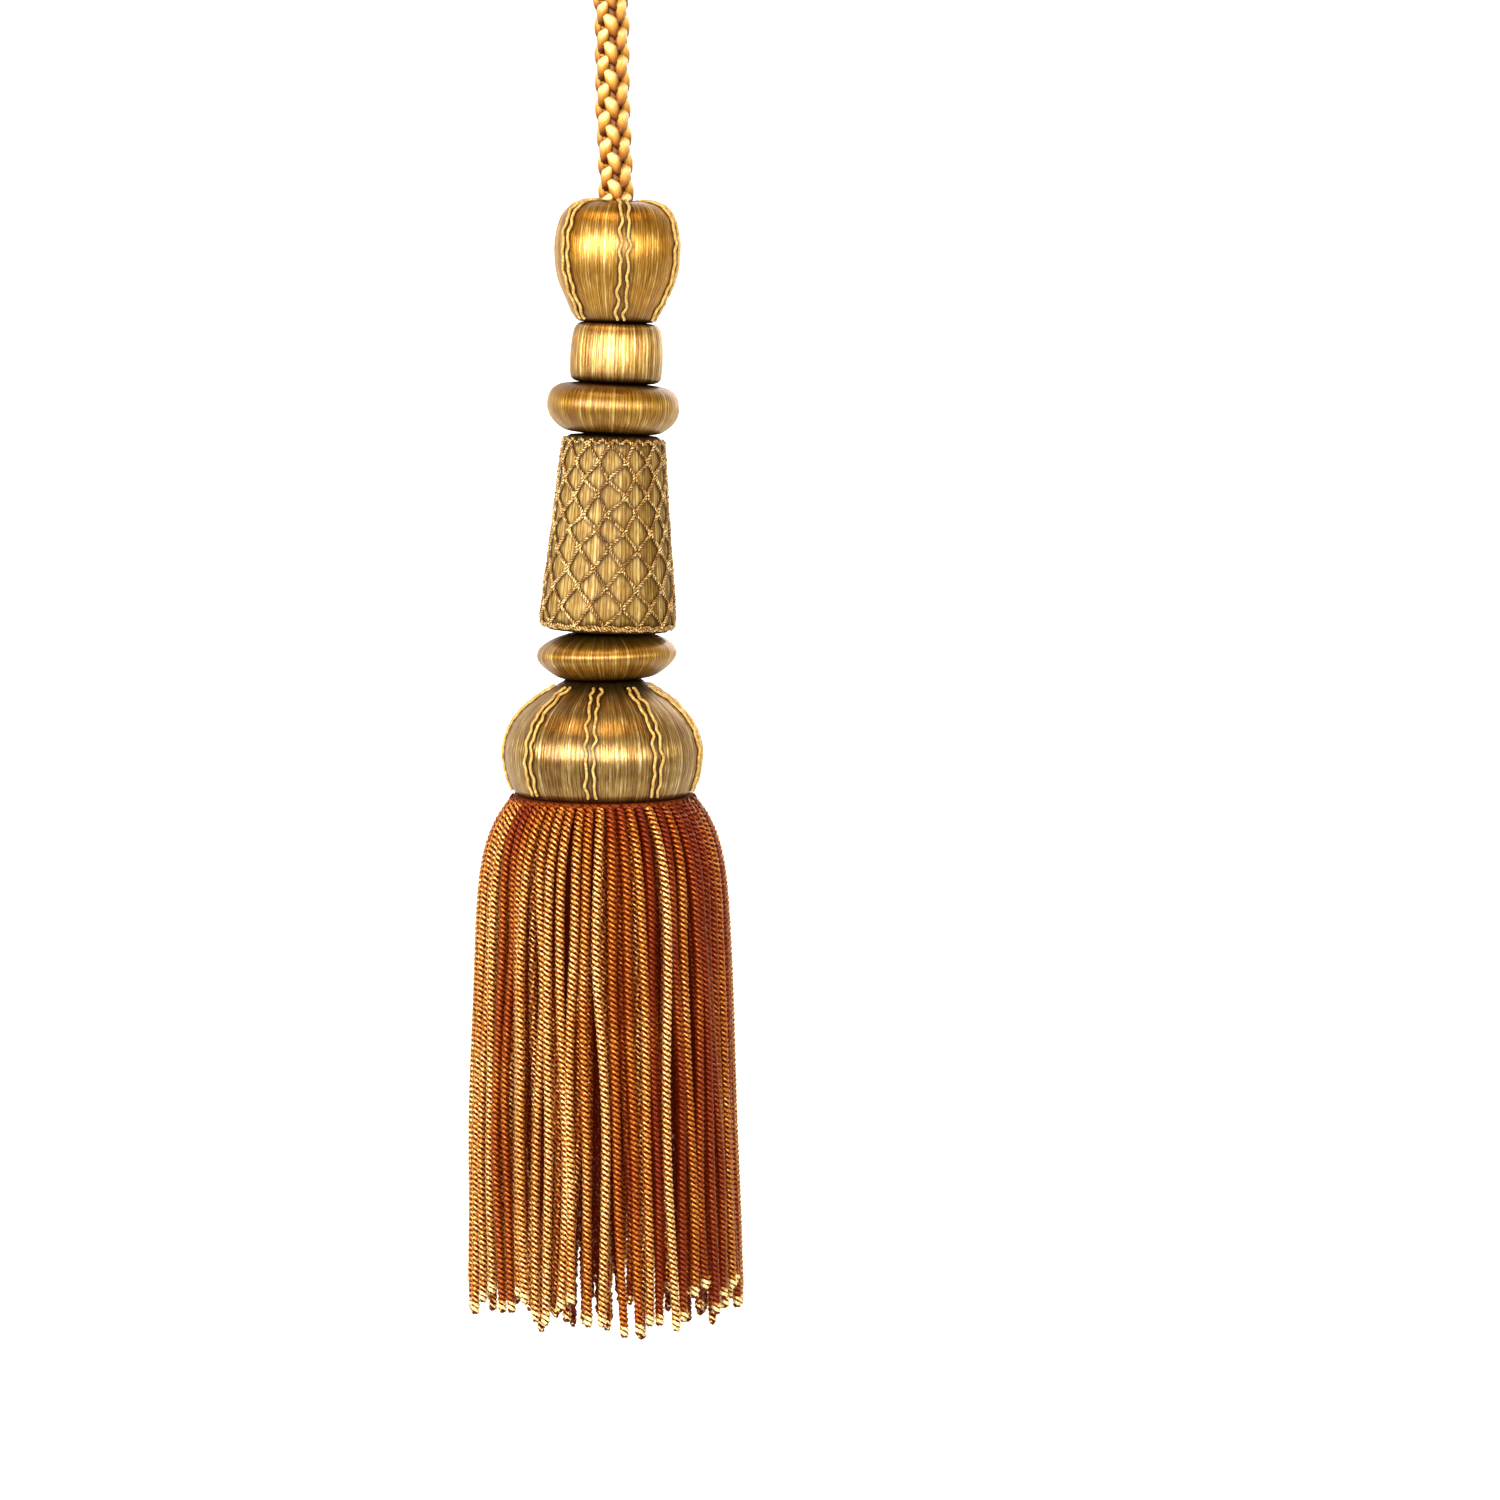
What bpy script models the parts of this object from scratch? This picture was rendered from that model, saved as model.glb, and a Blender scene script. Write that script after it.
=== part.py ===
"""Bullion tassel on a braided cord, as it hangs: a stack of floss-wrapped turnings over a bullion skirt.

Lengths in the tables are millimetres, and depths are measured down from the top of the knob. The origin is
the inside top of the cord's eye, where the tassel hangs, with the front towards -Y and +Z up.
"""

import math
import random

import bmesh
import bpy
from mathutils import Vector

MM = 0.001
GAP = 0.3
KNOB_TOP_Z = -99.0

CORD_DIAMETER = 8.6
BRAID_RELIEF = 0.32
BRAID_COLUMNS = 8
LOBE_LENGTH = 6.3
# The cord's centreline, from the knob up and round the eye to the cut end: (across, height).
CORD_ROUTE = (
    (1.0, -99.4), (0.8, -91.0), (0.3, -79.0), (0.1, -66.0), (0.1, -57.0), (-0.4, -51.0), (-2.6, -45.5),
    (-4.4, -40.0), (-4.4, -33.5), (-6.2, -25.5), (-10.4, -16.0), (-12.2, -7.5), (-10.3, 0.0), (-5.7, 3.4),
    (0.0, 4.3), (5.7, 3.4), (10.3, 0.0), (12.2, -7.5), (10.4, -16.0), (6.2, -25.5), (4.4, -33.5),
    (4.4, -40.0), (4.4, -45.0),
)
WHIPPING_TOP = -32.0
WHIPPING_HEIGHT = 9.0
WHIPPING_WALL = 1.0

# How each turning sits on the leaning core: (depth of its top, sideways shift, tilt in degrees).
SEATS = {
    "knob": (0.0, 1.2, 1.8),
    "spool": (29.6, 1.0, 2.5),
    "upper_ring": (44.1, 0.1, 3.1),
    "trellis_body": (56.4, -0.6, 2.0),
    "lower_ring": (103.9, -1.6, -1.6),
    "bulb": (115.2, -2.4, 0.0),
}
# Outlines of the turnings, top to bottom: (depth below the piece's seat, radius).
OUTLINES = {
    "knob": (
        (0.7, 8.0), (1.3, 10.4), (2.7, 12.5), (5.2, 14.1), (10.0, 15.1), (15.0, 15.0),
        (19.5, 14.1), (24.0, 12.1), (27.6, 10.2), (29.2, 8.9),
    ),
    "spool": ((0.0, 8.8), (0.8, 10.0), (3.0, 10.7), (7.5, 11.1), (12.6, 10.9), (13.7, 10.2), (14.1, 9.2)),
    "upper_ring": (
        (0.0, 10.2), (0.5, 13.0), (2.1, 15.1), (4.8, 15.9), (7.4, 15.5), (9.6, 14.0), (11.2, 11.8), (11.7, 9.8),
    ),
    "trellis_body": (
        (0.0, 10.4), (0.8, 11.4), (3.0, 11.9), (17.0, 13.2), (31.0, 14.6), (42.0, 15.7), (45.6, 15.5),
        (46.8, 14.4),
    ),
    "lower_ring": (
        (0.0, 9.2), (1.2, 12.8), (3.0, 15.9), (4.9, 16.9), (6.6, 16.4), (8.6, 14.5), (10.3, 12.0), (10.8, 10.4),
    ),
    "bulb": (
        (0.0, 9.2), (0.7, 10.1), (2.8, 13.6), (5.2, 17.2), (8.2, 20.4), (12.2, 22.9), (17.4, 24.1),
        (22.2, 23.5), (25.6, 22.4), (27.4, 21.3), (27.9, 20.2),
    ),
}
TURNED_STEPS = 26

# Gimp pairs: (turning, pairs, angle of the first from the front, start as (depth, radius), depth of the end).
GIMP_SETS = (("knob", 6, 8.0, (0.7, 5.9), 28.6), ("bulb", 9, -6.0, (1.6, 11.6), 26.6))
GIMP_WAVE = 4.9
GIMP_THICK = 0.9
GIMP_GROOVE = 0.45
GIMP_NARROW = 0.55
GIMP_WIDE = 1.15

NET_ROUND = 13
NET_ROWS = 10
NET_GROWTH = 0.17
NET_TOP = 1.6
NET_BOTTOM = 45.2
NET_CORD = 0.9
NET_LIFT = 0.45
NET_RIM = 1.1

BAND_TOP = 143.35
BAND_HEIGHT = 1.2
BAND_RADIUS = 22.9
BAND_SHIFT = -2.6
SKIRT_FLARE_DEPTH = 9.0
SKIRT_LENGTH = 121.0
SKIRT_DRIFT = 0.8
# Layers of the skirt, outermost first: (strands, root radius, flare, further spread, sides of a strand).
SKIRT_LAYERS = (
    (58, 21.8, 8.0, 3.4, 4),
    (44, 18.9, 6.6, 3.2, 3),
    (32, 15.9, 4.8, 2.8, 3),
    (20, 12.8, 2.8, 2.2, 3),
)
# Where a strand bends on its way down: (depth below the band, its radius there).
OUTER_STATIONS = ((0.0, 0.92), (3.0, 1.05), (9.0, 1.18), (21.0, 1.2), (56.0, 1.2), (92.0, 1.2))
INNER_STATIONS = ((0.0, 0.92), (5.0, 1.1), (20.0, 1.2), (76.0, 1.2))
STRAND_TIP_RADIUS = 0.85
# Where the strands part: (across, depth below the band, half height, half width of the parting, reach).
PARTINGS = ((-18.0, 72.0, 34.0, 1.5, 9.0), (4.5, 104.0, 30.0, 1.2, 8.0))

COLOURS = {
    "cord": (0.80, 0.55, 0.22),
    "whipping": (0.62, 0.36, 0.10),
    "floss": (0.62, 0.40, 0.13),
    "gimp": (0.74, 0.54, 0.22),
    "net": (0.46, 0.29, 0.09),
    "bullion": (0.60, 0.24, 0.05),
}


def material(name):
    """A satin thread finish in one of the colours above."""
    made = bpy.data.materials.get(name)
    if made is None:
        made = bpy.data.materials.new(name)
        made.use_nodes = True
        shader = made.node_tree.nodes["Principled BSDF"]
        shader.inputs["Base Color"].default_value = (*COLOURS[name], 1.0)
        shader.inputs["Roughness"].default_value = 0.42
        shader.inputs["Metallic"].default_value = 0.0
    return made


def add_object(name, points, faces, finish, parent):
    """A mesh object from points in millimetres."""
    mesh = bpy.data.meshes.new(name)
    mesh.from_pydata([tuple(value * MM for value in point) for point in points], [], faces)
    mesh.materials.append(material(finish))
    made = bpy.data.objects.new(name, mesh)
    made.parent = parent
    bpy.context.collection.objects.link(made)
    return made


def face_outwards(made, sharp_degrees=50.0):
    """Turn the faces outwards and shade the round ones smooth."""
    shape = bmesh.new()
    shape.from_mesh(made.data)
    bmesh.ops.recalc_face_normals(shape, faces=shape.faces)
    shape.to_mesh(made.data)
    shape.free()
    made.data.shade_smooth()
    made.data.set_sharp_from_angle(angle=math.radians(sharp_degrees))


def smooth_curve(points, spans):
    """Points of a Catmull-Rom curve through the given ones, with so many spans between each two."""
    ends = (points[0] * 2 - points[1], *points, points[-1] * 2 - points[-2])
    curve = []
    for before, start, end, after in zip(ends, ends[1:], ends[2:], ends[3:]):
        for step in range(spans):
            t = step / spans
            curve.append(
                0.5 * (
                    2 * start
                    + (end - before) * t
                    + (2 * before - 5 * start + 4 * end - after) * t**2
                    + (3 * start - before - 3 * end + after) * t**3
                )
            )
    return [*curve, points[-1]]


def evenly(points, steps):
    """The same line in so many equal steps."""
    lengths = [0.0]
    for start, end in zip(points, points[1:]):
        lengths.append(lengths[-1] + (end - start).length)
    spaced, span = [], 0
    for step in range(steps + 1):
        wanted = lengths[-1] * step / steps
        while span < len(points) - 2 and lengths[span + 1] < wanted:
            span += 1
        share = (wanted - lengths[span]) / (lengths[span + 1] - lengths[span])
        spaced.append(points[span].lerp(points[span + 1], share))
    return spaced


def line_length(points):
    return sum((end - start).length for start, end in zip(points, points[1:]))


def tube(rings):
    """Points and faces of a closed tube through rings of equally many points."""
    sides = len(rings[0])
    faces = [tuple(range(sides))[::-1], tuple(range((len(rings) - 1) * sides, len(rings) * sides))]
    for row in range(len(rings) - 1):
        for side in range(sides):
            here, over = row * sides + side, row * sides + (side + 1) % sides
            faces.append((here, over, over + sides, here + sides))
    return [point for ring in rings for point in ring], faces


def hanging_cord(parent):
    """The braided cord: lobes in eight columns, each column half a lobe out of step with its neighbours."""
    route = smooth_curve([Vector((across, 0.0, height)) for across, height in CORD_ROUTE], 12)
    steps = 2 * round(line_length(route) / LOBE_LENGTH)
    centres = evenly(route, steps)
    mean_radius = CORD_DIAMETER / 2 - BRAID_RELIEF
    rings = []
    for step, centre in enumerate(centres):
        tangent = (centres[min(step + 1, steps)] - centres[max(step - 1, 0)]).normalized()
        across = tangent.cross(Vector((0.0, 1.0, 0.0)))
        ring = []
        for column in range(BRAID_COLUMNS):
            angle = math.tau * column / BRAID_COLUMNS
            radius = mean_radius + BRAID_RELIEF * (-1) ** (column + step)
            ring.append(centre + radius * (across * math.sin(angle) + Vector((0.0, -math.cos(angle), 0.0))))
        rings.append(ring)
    points, (first_end, last_end, *sides) = tube(rings)
    faces = [first_end, last_end]
    for low, low_next, high_next, high in sides:
        # Each side is folded between its two low corners, so that the lobes stand out.
        if sum(divmod(low, BRAID_COLUMNS)) % 2:
            faces += [(low, low_next, high_next), (low, high_next, high)]
        else:
            faces += [(low_next, high_next, high), (low_next, high, low)]
    face_outwards(add_object("hanging_cord", points, faces, "cord", parent), 15.0)


def loop_whipping(parent):
    """Thread bound round the two parts of the cord: an oval sleeve, open at both ends."""
    half_apart = CORD_ROUTE[-2][0]
    inner = CORD_DIAMETER / 2 + 2 * GAP
    rings = []
    for height, radius in (
        (0.0, inner),
        (0.0, inner + WHIPPING_WALL * 0.6),
        (-WHIPPING_HEIGHT * 0.12, inner + WHIPPING_WALL),
        (-WHIPPING_HEIGHT * 0.88, inner + WHIPPING_WALL),
        (-WHIPPING_HEIGHT, inner + WHIPPING_WALL * 0.6),
        (-WHIPPING_HEIGHT, inner),
    ):
        ring = []
        for side in (1, -1):
            for step in range(9):
                angle = math.pi * step / 8
                ring.append((
                    side * (half_apart + radius * math.sin(angle)),
                    -side * radius * math.cos(angle),
                    WHIPPING_TOP + height,
                ))
        rings.append(ring)
    sides = len(rings[0])
    points = [point for ring in rings for point in ring]
    faces = [
        (
            row * sides + side,
            row * sides + (side + 1) % sides,
            (row + 1) % len(rings) * sides + (side + 1) % sides,
            (row + 1) % len(rings) * sides + side,
        )
        for row in range(len(rings))
        for side in range(sides)
    ]
    face_outwards(add_object("loop_whipping", points, faces, "whipping", parent))


def turning(name, parent):
    """A turned and wrapped piece: its outline spun round its own axis, seated on the core."""
    rows = OUTLINES[name]
    outline = ((rows[0][0], 0.0), *rows, (rows[-1][0], 0.0))
    points = [(radius, 0.0, -depth) for depth, radius in outline]
    edges = [(row, row + 1) for row in range(len(points) - 1)]
    mesh = bpy.data.meshes.new(name)
    mesh.from_pydata([tuple(value * MM for value in point) for point in points], edges, [])
    mesh.materials.append(material("floss"))
    made = bpy.data.objects.new(name, mesh)
    bpy.context.collection.objects.link(made)
    made.parent = parent
    spun = made.modifiers.new("Turned", "SCREW")
    spun.steps = spun.render_steps = TURNED_STEPS
    spun.use_merge_vertices = True
    spun.merge_threshold = 0.00001
    spun.use_smooth_shade = True
    top, shift, tilt = SEATS[name]
    # The tilt turns the piece about its middle, so the top moves sideways against it.
    middle = outline[-1][0] / 2
    lean = math.radians(tilt)
    made.location = (
        (shift + middle * math.sin(lean)) * MM,
        0.0,
        (KNOB_TOP_Z - top - middle + middle * math.cos(lean)) * MM,
    )
    made.rotation_euler.y = lean
    return made


def outline_curve(name, start, end):
    """A turning's outline from a start, given as depth and radius, down to a depth: (radius, 0, height)."""
    rows = [start, *(row for row in OUTLINES[name] if row[0] >= start[0] and row[1] > start[1])]
    narrowing = [row for row in OUTLINES[name] if row[0] > rows[-1][0]]
    curve = smooth_curve([Vector((radius, 0.0, -depth)) for depth, radius in (*rows, *narrowing)], 12)
    return [point for point in curve if point.z >= -end]


def gimp_pairs(turned, pairs, first, start, end):
    """Wavy gimp cords in pairs down a turning: two ridges that swell apart and draw together."""
    curve = outline_curve(turned.name, start, end)
    steps = round(line_length(curve) / GIMP_WAVE) * 2
    path = evenly(curve, steps)
    for pair in range(pairs):
        angle = math.radians(first + 360.0 * pair / pairs)
        outward = Vector((math.sin(angle), -math.cos(angle), 0.0))
        sideways = Vector((math.cos(angle), math.sin(angle), 0.0))
        rings = []
        for step, at in enumerate(path):
            run = path[min(step + 1, steps)] - path[max(step - 1, 0)]
            normal = Vector((-run.z, 0.0, run.x)).normalized()
            raised = outward * normal.x + Vector((0.0, 0.0, normal.z))
            seat = outward * at.x + Vector((0.0, 0.0, at.z)) + raised * GAP
            crest = GIMP_WIDE if step % 2 else GIMP_NARROW
            edge = crest + GIMP_THICK / 2
            rings.append([
                seat - sideways * edge,
                seat - sideways * crest + raised * GIMP_THICK,
                seat + raised * GIMP_GROOVE,
                seat + sideways * crest + raised * GIMP_THICK,
                seat + sideways * edge,
            ])
        made = add_object(f"{turned.name}_gimp_{pair + 1}", *tube(rings), "gimp", turned)
        face_outwards(made, 60.0)


def trellis_net(turned):
    """The diamond net over the tapered body: crossings, the cords between them and a rim at each end."""
    rows = [Vector((radius, 0.0, -depth)) for depth, radius in OUTLINES[turned.name]]
    curve = smooth_curve(rows, 12)

    def on_net(height, across, angle):
        """A point on the net's outer face: height above its row, and distance across along the face."""
        radius = next(
            low.x + (high.x - low.x) * (height - low.z) / (high.z - low.z)
            for high, low in zip(curve, curve[1:])
            if low.z <= height <= high.z and high.z > low.z
        )
        radius += NET_LIFT + NET_CORD
        turn = angle + across / radius
        return (radius * math.sin(turn), -radius * math.cos(turn), height)

    points, faces, corners, rims = [], [], {}, {}
    half = NET_CORD * 0.75
    for row in range(NET_ROWS + 1):
        down_net = row / NET_ROWS
        down_net *= 1.0 - NET_GROWTH / 2 * (1.0 - down_net)
        height = -(NET_TOP + (NET_BOTTOM - NET_TOP) * down_net)
        up = NET_RIM if row == 0 else half
        down = NET_RIM if row == NET_ROWS else half
        for column in range(NET_ROUND):
            angle = math.tau * (column + 0.5 * (row % 2)) / NET_ROUND
            corners[row, column] = len(points)
            points += [
                on_net(height + up, 0.0, angle),
                on_net(height, -half, angle),
                on_net(height - down, 0.0, angle),
                on_net(height, half, angle),
            ]
            if row in (0, NET_ROWS):
                # The rim's own corners, halfway to the next crossing.
                between = angle + math.pi / NET_ROUND
                rims[row, column] = len(points)
                outer = height + NET_RIM if row == 0 else height - NET_RIM
                points += [on_net(outer, 0.0, between), on_net(height, 0.0, between)]
    for (row, column), north in corners.items():
        west, south, east = north + 1, north + 2, north + 3
        faces.append((north, west, south, east))
        beside = corners[row, (column + 1) % NET_ROUND]
        if (row, column) in rims:
            outer, inner = rims[row, column], rims[row, column] + 1
            edge, edge_beside = (north, beside) if row == 0 else (south, beside + 2)
            faces.append((edge, east, inner, outer))
            faces.append((outer, inner, beside + 1, edge_beside))
        if row < NET_ROWS:
            right = corners[row + 1, column if row % 2 == 0 else (column + 1) % NET_ROUND]
            left = corners[row + 1, (column - 1) % NET_ROUND if row % 2 == 0 else column]
            faces.append((east, south, right + 1, right))
            faces.append((south, west, left, left + 3))
    made = add_object("trellis_net", points, faces, "net", turned)
    face_outwards(made)
    walls = made.modifiers.new("Cord thickness", "SOLIDIFY")
    walls.thickness = NET_CORD * MM
    walls.offset = -1.0


def strand_length(layer, index):
    return SKIRT_LENGTH + random.Random(f"length {layer} {index}").uniform(-5.5, 5.5)


def strand_point(layer, index, depth):
    """A point of one strand's centreline, in millimetres about and below the band."""
    count, root, flare, spread, _ = SKIRT_LAYERS[layer]
    own = random.Random(f"strand {layer} {index}")
    low = depth / SKIRT_LENGTH
    angle = math.tau * (index + 0.25 * layer + own.uniform(-0.05, 0.05)) / count
    radius = root + flare * (1.0 - math.exp(-depth / SKIRT_FLARE_DEPTH)) + spread * low
    radius += (own.uniform(-0.7, 0.7) + 0.7 * math.sin(3.0 * angle + 1.0)) * low
    angle += 0.02 * math.sin(7.0 * angle + 0.6) * low**1.5 + own.uniform(-0.5, 0.5) * low**2 / radius
    x = radius * math.sin(angle)
    y = -radius * math.cos(angle)
    for across, middle, half_height, half_width, reach in PARTINGS:
        open_here = math.exp(-(((depth - middle) / half_height) ** 2))
        x += math.copysign(half_width * open_here * math.exp(-abs(x - across) / reach), x - across)
    x += SKIRT_DRIFT * low
    sway = own.uniform(0.1, 0.4) * low * math.sin(math.tau * (depth / own.uniform(55.0, 90.0) + own.random()))
    return Vector((x + sway, y + sway * 0.5, -depth))


def bullion_skirt(parent):
    """The skirt: layers of strands that leave a narrow band, arch outwards and hang."""
    band = bmesh.new()
    radius, height = BAND_RADIUS * MM, BAND_HEIGHT * MM
    bmesh.ops.create_cone(band, cap_ends=True, segments=48, radius1=radius, radius2=radius, depth=height)
    mesh = bpy.data.meshes.new("bullion_skirt")
    band.to_mesh(mesh)
    band.free()
    mesh.materials.append(material("bullion"))
    made = bpy.data.objects.new("bullion_skirt", mesh)
    bpy.context.collection.objects.link(made)
    made.parent = parent
    made.location = (BAND_SHIFT * MM, 0.0, (KNOB_TOP_Z - BAND_TOP - BAND_HEIGHT / 2) * MM)

    points, faces = [], []
    under_band = Vector((0.0, 0.0, -BAND_HEIGHT / 2))
    for layer, (count, _, _, _, sides) in enumerate(SKIRT_LAYERS):
        for index in range(count):
            stations = OUTER_STATIONS if layer == 0 else INNER_STATIONS
            stations = (*stations, (strand_length(layer, index), STRAND_TIP_RADIUS))
            path = [strand_point(layer, index, depth) for depth, _ in stations]
            # The root starts inside the band, straight down.
            path[0].z += 0.7 * BAND_HEIGHT
            outward = Vector((path[0].x, path[0].y, 0.0)).normalized()
            rings = []
            for step, (centre, (_, radius)) in enumerate(zip(path, stations)):
                run = path[min(step + 1, len(path) - 1)] - path[step - 1] if step else Vector((0.0, 0.0, -1.0))
                across = run.cross(outward).normalized()
                facing = across.cross(run).normalized()
                turns = [math.tau * side / sides for side in range(sides)]
                rings.append([
                    centre + radius * (across * math.sin(turn) + facing * math.cos(turn)) + under_band
                    for turn in turns
                ])
            tube_points, tube_faces = tube(rings)
            faces += [tuple(len(points) + corner for corner in face) for face in tube_faces]
            points += tube_points
    strands = add_object("strands", points, faces, "bullion", made)
    face_outwards(strands)
    strands.hide_render = True
    strands.display_type = "WIRE"
    fused = made.modifiers.new("Strands", "BOOLEAN")
    fused.operation = "UNION"
    fused.object = strands


for old in list(bpy.data.objects):
    bpy.data.objects.remove(old)

tassel = bpy.data.objects.new("tassel", None)
bpy.context.collection.objects.link(tassel)
hanging_cord(tassel)
loop_whipping(tassel)
turnings = {name: turning(name, tassel) for name in SEATS}
bpy.context.view_layer.update()
for name, pairs, first, start, end in GIMP_SETS:
    gimp_pairs(turnings[name], pairs, first, start, end)
trellis_net(turnings["trellis_body"])
bullion_skirt(tassel)
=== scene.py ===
"""A bullion tassel on its braided cord, dressed over its solids. Sizes in the tables are millimetres."""

import math
import random
from collections import namedtuple

import bpy
from mathutils import Matrix, Vector
from mathutils.kdtree import KDTree


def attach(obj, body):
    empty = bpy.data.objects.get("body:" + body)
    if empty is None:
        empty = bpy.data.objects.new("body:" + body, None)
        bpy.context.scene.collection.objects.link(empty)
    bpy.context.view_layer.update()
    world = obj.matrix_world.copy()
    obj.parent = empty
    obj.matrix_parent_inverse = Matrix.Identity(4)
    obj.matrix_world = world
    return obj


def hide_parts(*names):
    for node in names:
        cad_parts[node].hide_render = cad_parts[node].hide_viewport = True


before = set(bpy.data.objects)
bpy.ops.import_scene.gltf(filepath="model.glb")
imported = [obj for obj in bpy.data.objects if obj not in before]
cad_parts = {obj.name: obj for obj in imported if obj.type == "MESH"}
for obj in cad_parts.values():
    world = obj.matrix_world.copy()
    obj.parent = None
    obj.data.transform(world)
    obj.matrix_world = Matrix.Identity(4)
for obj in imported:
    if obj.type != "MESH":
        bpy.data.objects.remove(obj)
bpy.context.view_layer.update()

MM = 0.001

# Camera
# A long lens a little above the middle of the tassel, looking slightly down at it.
camera = bpy.data.objects.new("Camera", bpy.data.cameras.new("Camera"))
camera.data.sensor_width = 36.0
camera.data.lens = 105.6
camera.location = (0.03297, -1.060, -0.12746)
camera.rotation_euler = (math.radians(90.0 - 5.6), 0.0, 0.0)
bpy.context.collection.objects.link(camera)
bpy.context.scene.camera = camera

# Braided cord
# A round braid of eight soft strands of untwisted rayon, four laid each way round, over one and under one.
# It leaves the knob, rises to the whipping and turns back on itself as the eye that the tassel hangs by.

# The route's points are (across, height), from inside the knob to inside the whipping.
CORD_ROUTE = (
    (1.0, -99.4), (0.8, -91.0), (0.3, -79.0), (0.1, -66.0), (0.1, -57.0), (-0.4, -51.0), (-2.6, -45.5),
    (-4.4, -40.0), (-4.4, -33.5), (-6.2, -25.5), (-10.4, -16.0), (-12.2, -7.5), (-10.3, 0.0), (-5.7, 3.4),
    (0.0, 4.3), (5.7, 3.4), (10.3, 0.0), (12.2, -7.5), (10.4, -16.0), (6.2, -25.5), (4.4, -33.5),
    (4.4, -40.0), (4.4, -45.0),
)
CORD_DIAMETER = 8.6
STRANDS = 8
LOBE_LENGTH = 6.5
FIRST_LOBE = 2.0
LOBE_FLAT = 0.26
LOBE_SLANT = 0.22
STRAND_RISE = 0.55
STRAND_HALF_WIDTH = 1.62
STRAND_HALF_THICK = 1.15
STEPS_PER_LOBE = 13
STRAND_SIDES = 8
CORE_RADIUS = 2.3
# So far along the fibres' pattern each strand begins after the one before, so that no two look alike.
FIBRES_APART = 31.0


class Wire:
    """A socket of a node tree: arithmetic on it adds Math nodes, and node() adds any other kind."""

    def __init__(self, tree, socket=None):
        self.tree = tree
        self.socket = socket

    def node(self, kind, settings, inputs, output=0):
        made = self.tree.nodes.new(kind)
        for name, value in settings.items():
            if name == "stops":
                ramp = made.color_ramp.elements
                ramp[0].position, ramp[1].position = value[0][0], value[-1][0]
                for place, _ in value[1:-1]:
                    ramp.new(place)
                for stop, (_, colour) in zip(ramp, value):
                    stop.color = (*colour, 1.0)
            else:
                setattr(made, name, value)
        for name, value in inputs.items():
            if isinstance(value, Wire):
                self.tree.links.new(value.socket, made.inputs[name])
            else:
                made.inputs[name].default_value = value
        return Wire(self.tree, made.outputs[output])

    def maths(self, operation, *values):
        return self.node("ShaderNodeMath", {"operation": operation}, dict(enumerate(values)))

    def vector(self, operation, *values):
        return self.node("ShaderNodeVectorMath", {"operation": operation}, dict(enumerate(values)))

    def __add__(self, other):
        return self.maths("ADD", self, other)

    def __sub__(self, other):
        return self.maths("SUBTRACT", self, other)

    def __mul__(self, other):
        return self.maths("MULTIPLY", self, other)

    def clamped(self):
        return self.node("ShaderNodeClamp", {}, {"Value": self})

    def blend(self, low, high):
        """From one colour to another as this value goes from 0 to 1."""
        low, high = (end if isinstance(end, Wire) else (*end, 1.0) for end in (low, high))
        # These are the numbers of the node's factor, its two colours and its colour result.
        return self.node("ShaderNodeMix", {"data_type": "RGBA"}, {0: self, 6: low, 7: high}, 2)

    def ramp(self, *stops):
        return self.node("ShaderNodeValToRGB", {"stops": stops}, {"Fac": self})

    def attribute(self, name):
        """A value that the mesh holds at its points."""
        return self.node("ShaderNodeAttribute", {"attribute_name": name}, {}, "Fac")

    def place(self):
        """Where the shaded point is in its object."""
        return self.node("ShaderNodeTexCoord", {}, {}, "Object")

    def noise(self, where, scale, detail=2.0, roughness=0.5):
        given = {"Vector": where, "Scale": scale, "Detail": detail, "Roughness": roughness}
        return self.node("ShaderNodeTexNoise", {}, given)


def thread_finish(name, roughness, metallic, specular, anisotropic=0.0, sheen=0.0):
    """A new thread material: its shader, with its constants set, and a wire to build the rest on."""
    made = bpy.data.materials.new(name)
    made.use_nodes = True
    shader = made.node_tree.nodes["Principled BSDF"]
    for socket, value in (
        ("Roughness", roughness),
        ("Metallic", metallic),
        ("Specular IOR Level", specular),
        ("Anisotropic", anisotropic),
        ("Sheen Weight", sheen),
        ("Sheen Roughness", 0.4),
    ):
        shader.inputs[socket].default_value = value
    shader.inputs["Specular Tint"].default_value = (1.0, 0.88, 0.58, 1.0)
    shader.inputs["Sheen Tint"].default_value = (1.0, 0.86, 0.55, 1.0)
    return made, shader, Wire(made.node_tree)


def finish_with(shader, wire, colour, height, distance):
    """Give a shader its colour and its low relief, whose height is in units of distance, in metres."""
    wire.tree.links.new(colour.socket, shader.inputs["Base Color"])
    bump = wire.node("ShaderNodeBump", {}, {"Distance": distance, "Height": height})
    wire.tree.links.new(bump.socket, shader.inputs["Normal"])


def smooth_curve(points, spans):
    """Points of a Catmull-Rom curve through the given ones, with so many spans between each two."""
    ends = (points[0] * 2 - points[1], *points, points[-1] * 2 - points[-2])
    curve = []
    for before, start, end, after in zip(ends, ends[1:], ends[2:], ends[3:]):
        for step in range(spans):
            t = step / spans
            curve.append(
                0.5 * (
                    2 * start
                    + (end - before) * t
                    + (2 * before - 5 * start + 4 * end - after) * t**2
                    + (3 * start - before - 3 * end + after) * t**3
                )
            )
    return [*curve, points[-1]]


def line_length(points):
    """How long a line of straight spans is."""
    return sum((end - start).length for start, end in zip(points, points[1:]))


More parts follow.
